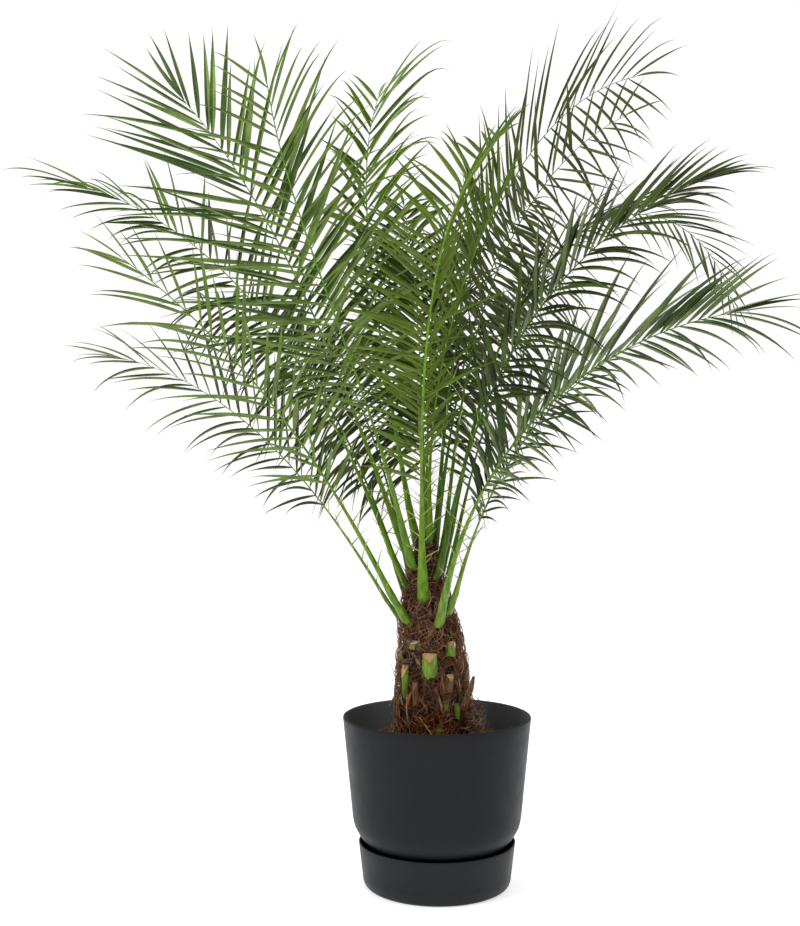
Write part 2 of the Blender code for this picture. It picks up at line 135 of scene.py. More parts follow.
def finishPiece(piece, nodes, materials, smoothAngle=None):
    for material in materials:
        piece.data.materials.append(material)
    if smoothAngle is not None:
        bpy.ops.object.select_all(action="DESELECT")
        piece.select_set(True)
        bpy.context.view_layer.objects.active = piece
        bpy.ops.object.shade_smooth_by_angle(angle=radians(smoothAngle))
    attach(piece, "root")
    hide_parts(*nodes)


def compass(bearing):
    return Vector((cos(radians(bearing)), sin(radians(bearing)), 0))


def startShape(add, **settings):
    # a primitive in edit mode, with nothing else selected and its place in its mesh
    bpy.ops.object.select_all(action="DESELECT")
    add(**settings)
    bpy.ops.object.transform_apply(location=True, rotation=True, scale=True)
    bpy.ops.object.mode_set(mode="EDIT")
    bpy.ops.mesh.select_all(action="SELECT")
    return bpy.context.object


def takeShape(piece):
    # what repeats is modelled once: its corners, its faces and their normals and middles
    bpy.ops.object.mode_set(mode="OBJECT")
    co = np.array([v.co[:] for v in piece.data.vertices])
    faces, normals, middles = zip(*[(tuple(f.vertices), f.normal.copy(), f.center.copy())
                                    for f in piece.data.polygons])
    bpy.data.objects.remove(piece, do_unlink=True)
    return co, faces, normals, middles


def makePattern(sides, cuts, pointed=True, channel=0.0):
    # a bar along Z with a radius of one: X is across, Y is up, and each ring gets its own width later
    bar = startShape(bpy.ops.mesh.primitive_cylinder_add, vertices=sides, radius=1, depth=1,
                     end_fill_type="NGON", location=(0, 0, 0.5))
    pick(bar, "EDGE", lambda e: abs(e.verts[0].co.z - e.verts[1].co.z) > 0.5)
    bpy.ops.mesh.subdivide(number_cuts=cuts)
    if pointed:
        pick(bar, "VERT", lambda v: v.co.z > 0.999)
        bpy.ops.mesh.merge(type="CENTER")
    if channel:  # the upper side of a palm stalk is a little hollow
        pick(bar, "VERT", lambda v: v.co.y > 0.97)
        bpy.ops.transform.translate(value=(0, -channel, 0))
    co, faces, normals, middles = takeShape(bar)
    return dict(ring=np.rint(co[:, 2] * (cuts + 1)).astype(int), across=co[:, 0], up=co[:, 1],
                faces=faces, rings=cuts + 2, upper=[n.y > 0.02 for n in normals],
                ahead=[m.x > 0 for m in middles])


def layPieces(name, pattern, copies, shades=None, fold=0.0):
    # a copy is its points, the directions across and up, widths and thicknesses, each ring by ring;
    # shades is the material number of every face of every copy
    points, across, upper, width, thick = (np.array([copy[k] for copy in copies]) for k in range(5))
    ring, x, y = pattern["ring"], pattern["across"], pattern["up"]
    breadth = width[:, ring] * x
    height = thick[:, ring] * y + fold * np.abs(breadth)
    verts = points[:, ring] + across[:, ring] * breadth[..., None] + upper[:, ring] * height[..., None]
    count, each = verts.shape[:2]
    turned = np.cross(across[:, 0], upper[:, 0])
    inside = np.einsum("ij,ij->i", turned, points[:, 1] - points[:, 0]) < 0
    faces, order = [], []
    for i in range(count):
        for face in pattern["faces"]:
            corners = face[::-1] if inside[i] else face  # a mirrored copy gets its faces reversed
            order.extend(corners)
            faces.append([i * each + c for c in corners])
    shades = np.array(shades or [0] * len(faces), dtype=np.int32).ravel()
    piece = meshPiece(name, verts.reshape(-1, 3), faces, shades)
    order = np.array(order)
    layer = piece.data.uv_layers.new(name="blade")
    flat = np.stack([x[order] * 0.5 + 0.5, ring[order] / (pattern["rings"] - 1)], axis=1)
    layer.data.foreach_set("uv", flat.astype(np.float32).ravel())
    return piece


def framesAlong(points, upper):
    # across and upper directions at each ring of many lines at once
    ahead = np.gradient(points, axis=1)
    ahead /= np.linalg.norm(ahead, axis=2, keepdims=True) + 1e-12
    across = np.cross(ahead, upper)
    across /= np.linalg.norm(across, axis=2, keepdims=True) + 1e-12
    return across, np.cross(across, ahead)


leafletPattern = makePattern(4, 11)
stalkPattern = makePattern(12, 59, pointed=False, channel=0.42)
spinePattern = makePattern(4, 4)
strandPattern = makePattern(3, 7)
print("patterns")


studio = dict(
    camera=(-0.058, -2.0, 0.66), lens=49.45, sensor=36,
    floorSize=14, floorGlow=0.55, roomFront=0.06, roomBack=0.30, roomAbove=0.40, backdrop=1.05,
    softBoxes=[("softBoxLeft", (-2.2, -1.5, 2.3), (0, 0, 0.8), 1.0, 34),
               ("softBoxRight", (2.3, -0.9, 1.9), (0, 0, 0.8), 1.3, 14),
               ("softBoxTop", (0, 0.1, 3.2), (0, 0, 0), 1.6, 46)],
)


def makeStudio():
    bpy.ops.object.select_all(action="DESELECT")
    bpy.ops.object.camera_add(location=studio["camera"], rotation=(radians(90), 0, 0))
    camera = bpy.context.object
    camera.data.sensor_width = studio["sensor"]
    camera.data.lens = studio["lens"]
    scene = bpy.context.scene
    scene.camera = camera
    scene.view_settings.view_transform = "Standard"
    scene.view_settings.look = "None"

    # uncoated white paper: dead matt, lit a little from within so that it stays white
    bpy.ops.mesh.primitive_plane_add(size=studio["floorSize"], location=(0, 0, 0))
    floor = bpy.context.object
    floor.name = "studioFloor"
    paper, tree, shader = newMaterial("mattWhitePaper", 0.9, 0.1)
    setInputs(tree, shader, {"Base Color": "#F4F4F4", "Emission Color": (1, 1, 1, 1),
                             "Emission Strength": studio["floorGlow"]})
    floor.data.materials.append(paper)

    # big soft boxes, each with its place, what it faces, its size and its power
    for name, place, aim, size, power in studio["softBoxes"]:
        bpy.ops.object.light_add(type="AREA", location=place)
        lamp = bpy.context.object
        lamp.name = name
        lamp.data.size = size
        lamp.data.energy = power
        lamp.rotation_euler = (Vector(aim) - Vector(place)).to_track_quat("-Z", "Y").to_euler()

    # the room: white round the sides and above, dim towards the front, plain white to the camera
    world = bpy.data.worlds.new("whiteRoom")
    scene.world = world
    world.use_nodes = True
    tree = world.node_tree
    tree.nodes.clear()
    towards = addNode(tree, "TexCoord")["Generated"]
    parts = addNode(tree, "SeparateXYZ", {0: towards})
    front = addNode(tree, "MapRange", {"From Min": -0.85, "From Max": 0.15, "Value": parts["Y"],
                                       "To Min": studio["roomFront"], "To Max": studio["roomBack"]})
    above = addNode(tree, "MapRange", {"From Min": 0.1, "From Max": 0.9, "Value": parts["Z"],
                                       "To Min": 0.0, "To Max": studio["roomAbove"]})
    total = addNode(tree, "Math", {0: front[0], 1: above[0]}, {"operation": "ADD"})
    room = addNode(tree, "Background", {"Color": "#FFFFFF", "Strength": total[0]})
    plain = addNode(tree, "Background", {"Color": "#FFFFFF", "Strength": studio["backdrop"]})
    seen = addNode(tree, "LightPath")["Is Camera Ray"]
    mixed = addNode(tree, "MixShader", {0: seen, 1: room[0], 2: plain[0]})
    addNode(tree, "OutputWorld", {"Surface": mixed[0]})


makeStudio()
print("studio")


# outlines are pairs of radius and height
planter = dict(
    footRadius=0.094, footHeight=0.0033, wall=0.0044, rimRadius=0.1475, rimHeight=0.264,
    outside=[(0.0925, 0.0033), (0.094, 0.0048), (0.095, 0.050), (0.100, 0.060), (0.1065, 0.0652),
             (0.113, 0.070), (0.1178, 0.0748), (0.1215, 0.080), (0.1255, 0.0868), (0.1287, 0.0930),
             (0.1305, 0.099), (0.1322, 0.108)],
    wallSteps=10, saucerFoot=0.105, saucerCorner=(0.1156, 0.009), saucerRim=(0.1226, 0.069),
    saucerWall=0.003, saucerSteps=6, lipSteps=10, sides=160,
)


def quarterTurn(centre, radius, start, end, steps):
    spots = []
    for i in range(steps + 1):
        turn = radians(start + (end - start) * i / steps)
        spots.append((centre[0] + radius * cos(turn), centre[1] + radius * sin(turn)))
    return spots


def turnProfile(name, profile, sides):
    # a circle extruded and widened ring by ring along the wall's outline, its two ends filled
    piece = startShape(bpy.ops.mesh.primitive_circle_add, vertices=sides, radius=profile[0][0],
                       location=(0, 0, profile[0][1]))
    piece.name = name
    bpy.ops.mesh.edge_face_add()
    pick(piece, "EDGE", lambda e: True)
    for (r0, z0), (r1, z1) in zip(profile, profile[1:]):
        bpy.ops.mesh.extrude_edges_move(TRANSFORM_OT_translate={"value": (0, 0, z1 - z0)})
        bpy.ops.transform.resize(value=(r1 / r0, r1 / r0, 1), center_override=(0, 0, z1))
    bpy.ops.mesh.edge_face_add()
    bpy.ops.mesh.select_all(action="SELECT")
    bpy.ops.mesh.normals_make_consistent(inside=False)
    bpy.ops.object.mode_set(mode="OBJECT")
    return piece


# injection-moulded polypropylene: a fine spark-eroded grain that breaks the gloss into a soft satin sheen,
# which lightens the wall where it turns away. Real grit is about 0.2 mm, drawn coarser so that it shows.
polypropylene = dict(roughness=0.42, ior=1.49, patch=(0.07, 3.0), worn=(0.02, 4.0, 0.38, 0.48),
                     grain=(0.0012, 2.0), depth=0.00008)


def straightWall(low, high, steps):
    return [(low[0] + (high[0] - low[0]) * i / steps, low[1] + (high[1] - low[1]) * i / steps)
            for i in range(steps)]


def makePlanter():
    plastic = makeMottled("mouldedPolypropylene", "#1C1F22", "#202123", polypropylene, specular=0.12)
    # painted light: the inside wall is a much paler grey that stands for the light falling into the pot from
    # above
    litInnerWall = makeMottled("paintedLitInnerPolypropylene", "#64686C", "#6E7175", polypropylene, specular=0.24)
    wall, lip = planter["wall"], planter["wall"] / 2
    rim, top = planter["rimRadius"], planter["rimHeight"]
    outside = planter["outside"]
    outside = outside[:-1] + straightWall(outside[-1], (rim, top - lip), planter["wallSteps"])
    profile = outside + quarterTurn((rim - lip, top - lip), lip, 0, 180, planter["lipSteps"])
    profile += [(r - wall, z) for r, z in outside[:1:-1]]
    profile += [(planter["footRadius"] - wall, planter["footHeight"] + wall)]
    pot = turnProfile("planterPot", profile, planter["sides"])
    # faces that look in towards the axis, but not the upward floor, take the paler grey of painted light
    for face in pot.data.polygons:
        outwards = face.normal.x * face.center.x + face.normal.y * face.center.y
        face.material_index = 1 if outwards < 0 and face.normal.z < 0.5 else 0
    finishPiece(pot, ["pot"], [plastic, litInnerWall], 50)

    foot, corner, rim = planter["saucerFoot"], planter["saucerCorner"], planter["saucerRim"]
    wall, lip = planter["saucerWall"], planter["saucerWall"] / 2
    bend = corner[0] - foot  # the foot's edge is rounded
    profile = [(foot - 0.002, 0.0)]
    profile += [(r, max(z, 0.0)) for r, z in quarterTurn((foot, bend - 0.0012), bend - 0.0006, -90, -6, 8)]
    outside = straightWall(corner, (rim[0], rim[1] - lip), planter["saucerSteps"])
    profile += outside + quarterTurn((rim[0] - lip, rim[1] - lip), lip, 0, 180, planter["lipSteps"])
    profile += [(r - wall, z + 0.001) for r, z in outside[::-1]] + [(foot, wall)]
    saucer = turnProfile("planterSaucer", profile, planter["sides"])
    matt = makeMottled("saucerPolypropylene", "#222426", "#262729", polypropylene, specular=0.14)
    finishPiece(saucer, ["saucer"], [matt], 50)


makePlanter()
print("planter")


# trunk outline, shared by all that grows on it: height, centre's x, radius
trunkRings = [(0.2353, -0.003, 0.063), (0.262, -0.005, 0.061), (0.287, -0.0065, 0.058),
              (0.319, -0.0080, 0.0525), (0.350, -0.0075, 0.0505), (0.382, -0.0095, 0.0455),
              (0.405, -0.0115, 0.0415), (0.430, -0.0145, 0.037), (0.445, -0.0165, 0.0345),
              (0.476, -0.019, 0.029), (0.500, -0.0195, 0.0245), (0.523, -0.018, 0.019),
              (0.545, -0.018, 0.012)]
ringHeights, ringCentres, ringRadii = zip(*trunkRings)


def trunkCentre(height):
    return float(np.interp(height, ringHeights, ringCentres))


def trunkRadius(height):
    return float(np.interp(height, ringHeights, ringRadii))


# outlines are pairs of radius and height; the crumbs lie on the bed at crumbBed, between two radii
soil = dict(
    wall=[(0.089, 0.0085), (0.0905, 0.050), (0.1085, 0.070), (0.126, 0.099), (0.1366, 0.215)],
    bed=[(0, 0.235), (0.088, 0.235), (0.112, 0.2245), (0.1366, 0.215)], rings=26, sides=120,
    lump=0.004, grit=0.0016, settle=0.001, crumbs=900, crumbSize=(0.0012, 0.0036),
    crumbBed=[(0.088, 0.2345), (0.112, 0.2245), (0.1366, 0.215)], crumbsFrom=0.05, crumbsTo=0.134, seed=5,
)
# peat and bark potting mix, loose and damp: dull red-brown crumbs with paler dry bits
pottingMix = dict(roughness=0.92, specular=0.25, patch=(0.004, 5.0), grain=(0.002, 5.0), depth=0.0012)


def makeSoil():
    dark = makeMottled("dampPeat", "#4A2A1C", "#70462E", pottingMix)
    warm = makeMottled("pineBarkCrumb", "#744630", "#A06C48", pottingMix)
    rnd = random.Random(soil["seed"])
    edge = soil["wall"][-1][0]
    inner = [edge * (1 - i / soil["rings"]) for i in range(1, soil["rings"])]
    profile = soil["wall"] + [(r, float(np.interp(r, *zip(*soil["bed"])))) for r in inner]
    bed = turnProfile("pottingSoil", profile, soil["sides"])
    for v in bed.data.vertices:
        if v.co.z > 0.21 and v.co.xy.length < edge - 0.002:  # the wall and its edge stay smooth
            lump = noise.noise(v.co * 60) * soil["lump"] + noise.noise(v.co * 200) * soil["grit"]
            v.co.z += lump - soil["settle"]
    finishPiece(bed, ["soil"], [dark], 60)

    # loose crumbs: one icosphere, squashed, turned and copied
    bead = startShape(bpy.ops.mesh.primitive_ico_sphere_add, subdivisions=1, radius=1)
    shape, sides, _, _ = takeShape(bead)
    verts, faces, shades = [], [], []
    for _ in range(soil["crumbs"]):
        turn = rnd.uniform(0, 2 * pi)
        r = sqrt(rnd.uniform(soil["crumbsFrom"] ** 2, soil["crumbsTo"] ** 2))
        z = float(np.interp(r, *zip(*soil["crumbBed"])))
        size = rnd.uniform(*soil["crumbSize"])
        jitter = np.array([[rnd.uniform(0.7, 1.3) for _ in range(3)] for _ in shape])
        stretch = np.array([size * rnd.uniform(*span) for span in ((0.7, 1.8), (0.6, 1.2), (0.4, 0.9))])
        c, s = cos(turn * 7), sin(turn * 7)
        x, y, height = (shape * jitter * stretch).T
        crumb = np.stack([x * c - y * s, x * s + y * c, height], axis=1)
        middle = np.array([r * cos(turn), r * sin(turn), z + size * 0.3])
        faces.extend([[len(verts) + corner for corner in side] for side in sides])
        verts.extend((crumb + middle).tolist())
        shades.extend([rnd.choice((0, 0, 1))] * len(sides))
    crumbs = meshPiece("soilCrumbs", verts, faces, shades)
    finishPiece(crumbs, ["soil"], [dark, warm])


makeSoil()
print("soil")


# a strand stays between low and high; skipped is the share left out where the mat is hollow, strip is how
# thick a strand has to be to lie stiff and straight, and stray is the share whose ends stand off
trunk = dict(
    sides=150, ringStep=0.0024, under=0.002, lump=0.0040, ridge=0.0018, seed=11,
    low=0.2365, high=0.548, hollow=0.22, skipped=0.75, curl=0.28, stripCurl=0.05, strip=0.002,
    wander=0.10, lengths=(0.5, 1.35), thicknesses=(0.55, 1.35), thinning=0.55, deepest=-0.0012,
    stray=0.10, strayReach=0.012,
    straw=0.0008, strawTop=(-0.029, -0.0665, 0.274), strawFoot=(-0.004, -0.0725, 0.240),
)
# dried leaf-sheath fibre, torn and weathered: dull matt threads, darker where damp
sheathFibre = dict(roughness=0.8, specular=0.3, patch=(0.012, 3.0), grain=(0.0015, 3.0), depth=0.0005)
strandColours = dict(
    darkSheathThread=("#3A241A", "#553426"), brownSheathThread=("#5E3B2A", "#7C5440"),
    paleSheathThread=("#84604A", "#A88468"), rustSheathThread=("#6E4020", "#96602E"),
    orangeSheathThread=("#74401C", "#9A6230"), drySheathStrip=("#7A6448", "#AC9470"),
    greyRootHair=("#8C8880", "#BEBAB4"),
)


def makeTrunkBody():
    low, high = trunkRings[0][0], trunkRings[-1][0]
    count = round((high - low) / trunk["ringStep"])
    heights = [low + (high - low) * i / count for i in range(count + 1)]
    body = turnProfile("trunkBody", [(trunkRadius(z) - trunk["under"], z) for z in heights],
                       trunk["sides"])
    for v in body.data.vertices:
        height = v.co.z
        out = Vector((v.co.x, v.co.y, 0)).normalized()
        spot = Vector((v.co.x, v.co.y, height * 0.75))
        lump = noise.fractal(spot * 38, 1.0, 2.0, 3) * trunk["lump"]
        ridge = noise.noise(Vector((out.x * 26, out.y * 26, height * 60))) * trunk["ridge"]
        fade = min(1.0, (height - low) / 0.004)  # the cut at soil level stays flat
        v.co += out * (lump + ridge) * fade
        v.co.x += trunkCentre(height)
    return body


# lean 0 runs round and 90 runs up, tones are the strands' colours, flat is depth over width, around is a
# bearing and its spread, and fly is how far the ends stand off
zoneNames = ("low", "high", "count", "lean", "spread", "length", "thick", "lift", "tones")
fibreZones = [
    ((0.236, 0.3, 300, 84, 24, 0.046, 0.001, 0.003, (1, 2, 3, 4)), {}),
    ((0.25, 0.335, 340, 78, 30, 0.05, 0.0013, 0.004, (0, 1, 2, 3)), {}),
    ((0.246, 0.33, 105, 88, 9, 0.052, 0.0046, 0.0045, (0, 1, 2, 3, 5)), dict(flat=0.22)),
    ((0.238, 0.268, 130, 70, 40, 0.026, 0.0015, 0.006, (3, 4, 4)), dict(around=(-90, 24))),
    ((0.285, 0.345, 330, 76, 40, 0.046, 0.0011, 0.004, (0, 1, 2, 3)), {}),
    ((0.33, 0.425, 520, 20, 55, 0.046, 0.0009, 0.004, (0, 1, 2, 2)), {}),
    ((0.33, 0.43, 350, 35, 60, 0.05, 0.0012, 0.005, (0, 1, 2, 3)), {}),
    ((0.41, 0.455, 250, 4, 24, 0.044, 0.0011, 0.004, (1, 2, 2, 3)), {}),
    ((0.405, 0.46, 160, 2, 20, 0.05, 0.0013, 0.005, (0, 1, 2, 3)), {}),
    ((0.45, 0.54, 280, 6, 34, 0.034, 0.0011, 0.003, (0, 1, 1, 2)), {}),
    ((0.455, 0.53, 60, 70, 30, 0.03, 0.0026, 0.003, (1, 2, 5)), dict(flat=0.4)),
    ((0.246, 0.28, 210, 50, 60, 0.022, 0.001, 0.011, (0, 1, 2, 5)), dict(around=(-26, 11))),
    ((0.24, 0.28, 80, 40, 50, 0.024, 0.0004, 0.014, (6,)), dict(around=(-22, 12))),
    ((0.26, 0.4, 120, 60, 50, 0.026, 0.0008, 0.004, (1, 2, 5)), dict(fly=0.011)),
]


def fibreLines(rnd):
    steps = strandPattern["rings"]
    low, high = trunk["low"], trunk["high"]
    points, outs, widths, depths, tones = [], [], [], [], []
    for place, own in fibreZones:
        zone = {**dict(zip(zoneNames, place)), **own}
        middle, either = zone.get("around", (0, 180))
        for _ in range(zone["count"]):
            height = rnd.uniform(zone["low"], zone["high"])
            bearing = radians(rnd.uniform(middle - either, middle + either))
            hollow = noise.noise(Vector((cos(bearing) * 2.4, sin(bearing) * 2.4, height * 45)))
            if hollow > trunk["hollow"] and rnd.random() < trunk["skipped"]:
                continue  # the mat is open here and shows the dark bark
            direction = radians(rnd.gauss(zone["lean"], zone["spread"])) + rnd.choice((0, pi))
            curl = rnd.gauss(0, trunk["curl"] if zone["thick"] < trunk["strip"] else trunk["stripCurl"])
            length = zone["length"] * rnd.uniform(*trunk["lengths"])
            step = length / (steps - 1)
            lift = rnd.uniform(trunk["deepest"], zone["lift"]) - 0.0015 * (hollow > 0.1)
            bow = rnd.uniform(0, zone["lift"] * 1.3)
            if rnd.random() < trunk["stray"]:
                fly = rnd.uniform(0, trunk["strayReach"])
            else:
                fly = zone.get("fly", 0.0) * rnd.random()
            line, out = [], []
            for i in range(steps):
                share = i / (steps - 1)
                radius = trunkRadius(height) + lift + bow * sin(pi * share) + fly * share ** 2
                radial = (cos(bearing), sin(bearing), 0.0)
                line.append((trunkCentre(height) + radius * radial[0], radius * radial[1], height))
                out.append(radial)
                direction += curl + rnd.gauss(0, trunk["wander"])
                bearing += cos(direction) * step / max(radius, 0.012)
                height = min(max(height + sin(direction) * step, low), high)
            points.append(line)
            outs.append(out)
            thick = zone["thick"] * rnd.uniform(*trunk["thicknesses"]) / 2
            taper = [1 - trunk["thinning"] * abs(2 * i / (steps - 1) - 1) ** 2 for i in range(steps)]
            widths.append([thick * t for t in taper])
            depths.append([thick * t * zone.get("flat", 1.0) for t in taper])
            tones.append(rnd.choice(zone["tones"]))
    points = np.array(points)
    across, upper = framesAlong(points, np.array(outs))
    return list(zip(points, across, upper, widths, depths)), tones


def makeTrunk():
    bark = makeMottled("mattedSheathFibre", "#24150D", "#452B1C", sheathFibre, roughness=0.9)
    strandTones = [makeMottled(name, *pair, sheathFibre) for name, pair in strandColours.items()]
    finishPiece(makeTrunkBody(), ["trunk"], [bark], 60)
    copies, tones = fibreLines(random.Random(trunk["seed"]))
    shades = [[tone] * len(strandPattern["faces"]) for tone in tones]
    strands = layPieces("trunkFibres", strandPattern, copies, shades)
    finishPiece(strands, ["trunk"], strandTones, 60)

    # one dry straw that leans on the foot of the trunk
    straw = makeMottled("dryStraw", "#B8924E", "#DCC088", sheathFibre)
    start, end = Vector(trunk["strawTop"]), Vector(trunk["strawFoot"])
    steps = strandPattern["rings"]
    line = np.array([[start.lerp(end, i / (steps - 1))[:] for i in range(steps)]])
    across, upper = framesAlong(line, np.broadcast_to(np.array([0.0, -1.0, 0.0]), line.shape))
    size = [trunk["straw"]] * steps
    bit = layPieces("strawBit", strandPattern, [(line[0], across[0], upper[0], size, size)])
    finishPiece(bit, ["trunk"], [straw], 60)


makeTrunk()
print("trunk")


# height of its middle, bearing, length, width, lean, skin, cut, taper, depth
leafBases = [
    (0.351, -95, 0.038, 0.026, 12, "green", "tan", 0.2, 0.0125),
    (0.374, -53, 0.022, 0.018, 6, "green", "pink", 0.22, 0.009),
    (0.38, -126, 0.013, 0.028, 10, "olive", "pink", 0.22, 0.008),
    (0.358, -160, 0.02, 0.011, 4, "olive", "tan", 0.22, 0.007),
    (0.324, -137, 0.05, 0.014, 6, "green", "tan", -0.62, 0.009),
    (0.323, -63, 0.028, 0.014, 10, "brown", "tan", 0.22, 0.01),
    (0.352, -34, 0.02, 0.011, 4, "brown", "tan", 0.22, 0.006),
    (0.309, -42, 0.06, 0.012, 24, "brown", "dark", 0.45, 0.009),
    (0.307, -118, 0.036, 0.012, 8, "brown", "dark", 0.22, 0.008),
    (0.281, -56, 0.024, 0.01, 10, "green", "dark", 0.22, 0.009),
    (0.291, -72, 0.016, 0.012, 8, "olive", "dark", 0.22, 0.008),
    (0.254, -85, 0.016, 0.01, 8, "green", "dark", 0.22, 0.009),
    (0.33, 40, 0.04, 0.02, 12, "green", "tan", 0.22, 0.0125),
    (0.375, 60, 0.03, 0.02, 10, "olive", "pink", 0.22, 0.0125),
    (0.3, 68, 0.038, 0.02, 14, "brown", "tan", 0.22, 0.0125),
    (0.345, 88, 0.04, 0.022, 10, "green", "tan", 0.22, 0.0125),
    (0.29, 112, 0.036, 0.02, 12, "brown", "dark", 0.22, 0.0125),
    (0.372, 118, 0.03, 0.018, 10, "green", "pink", 0.22, 0.0125),
    (0.325, 140, 0.042, 0.02, 12, "olive", "tan", 0.22, 0.0125),
]
boot = dict(cuts=7, thinEdge=0.85, keel=1.7, tall=1.25, slant=0.40, rim=0.035, sunk=-0.02,
            sunkIn=0.002, ragged=0.10, wobble=0.0010)
# live stalk skin: smooth and slightly waxy, with darker lengthwise streaks
stalkSkin = dict(roughness=0.45, specular=0.5, patch=(0.0025, 3.0), grain=(0.0012, 3.0), depth=0.0003,
                 squeeze=0.15)


def makeBootPattern():
    # a cut stub: X across, Y outwards, Z along, its top sliced off on a slant so the keel is lowest
    stub = startShape(bpy.ops.mesh.primitive_cube_add, size=1, location=(0, 0.5, 0.5))
    bpy.ops.mesh.subdivide(number_cuts=boot["cuts"])
    shape = bmesh.from_edit_mesh(stub.data)
    for v in shape.verts:
        v.co.y *= 1 - boot["thinEdge"] * (abs(v.co.x) * 2) ** boot["keel"]
        v.co.z *= boot["tall"]
    bmesh.update_edit_mesh(stub.data)
    bpy.ops.mesh.select_all(action="SELECT")
    bpy.ops.mesh.bisect(plane_co=(0, 0, 1.0), plane_no=(0, boot["slant"], 1.0), use_fill=True,
                        clear_outer=True)
    bpy.ops.mesh.select_mode(type="FACE")
    pick(stub, "FACE", lambda f: len(f.verts) > 8)
    bpy.ops.mesh.inset(thickness=boot["rim"], depth=boot["sunk"])
    bpy.ops.mesh.quads_convert_to_tris()
    co, faces, normals, _ = takeShape(stub)
    return co, faces, [1 if n.z > 0.6 else 0 for n in normals]  # the skin and the cut


def makeLeafBases():
    skins = dict(green=makeMottled("greenStalkSkin", "#4A6E08", "#7C9E14", stalkSkin),
                 olive=makeMottled("oliveStalkSkin", "#4A4E16", "#7C8430", stalkSkin),
                 brown=makeMottled("deadStalkSkin", "#4A2E1C", "#8A6440", stalkSkin, roughness=0.8))
    # the cuts show dry pith, with the same dull fibres as the sheaths
    cuts = dict(tan=makeMottled("driedCutPith", "#84683E", "#B89A6C", sheathFibre),
                pink=makeMottled("freshCutPith", "#C9A58C", "#E8CDB8", sheathFibre),
                dark=makeMottled("weatheredCutPith", "#4A3324", "#75563C", sheathFibre))
    co, faces, kinds = makeBootPattern()
    for i, (height, bearing, length, width, lean, skin, cut, taper, deep) in enumerate(leafBases):
        out = compass(bearing)
        along = up.cross(out)
        axis = up * cos(radians(lean)) + out * sin(radians(lean))
        footHeight = height - length / 2
        foot = Vector((trunkCentre(footHeight), 0, footHeight))
        foot = foot + out * (trunkRadius(footHeight) - boot["sunkIn"])
        verts = []
        for x, y, z in co:
            narrow = 1 - taper * z if taper > 0 else 1 + taper * (1 - z)
            ragged = 0.0
            if z < 0.02:
                ragged = noise.noise(Vector((x * 4.5, i * 3.1, 0))) * boot["ragged"] - 0.02
            wobble = noise.noise(Vector((x * 3, y * 3, z * 3 + i * 7))) * boot["wobble"]
            spot = foot + axis * ((z + ragged) * length) + along * (x * width * narrow)
            verts.append((spot + out * (y * deep + wobble))[:])
        node = "leaf_base_%02d" % (i + 1)
        stub = meshPiece("cutLeafBase%02d" % (i + 1), verts, faces, kinds, node)
        work = bmesh.new()
        work.from_mesh(stub.data)
        bmesh.ops.recalc_face_normals(work, faces=work.faces)
        work.to_mesh(stub.data)
        work.free()
        finishPiece(stub, [node], [skins[skin], cuts[cut]], 35)


makeLeafBases()
print("leaf bases")


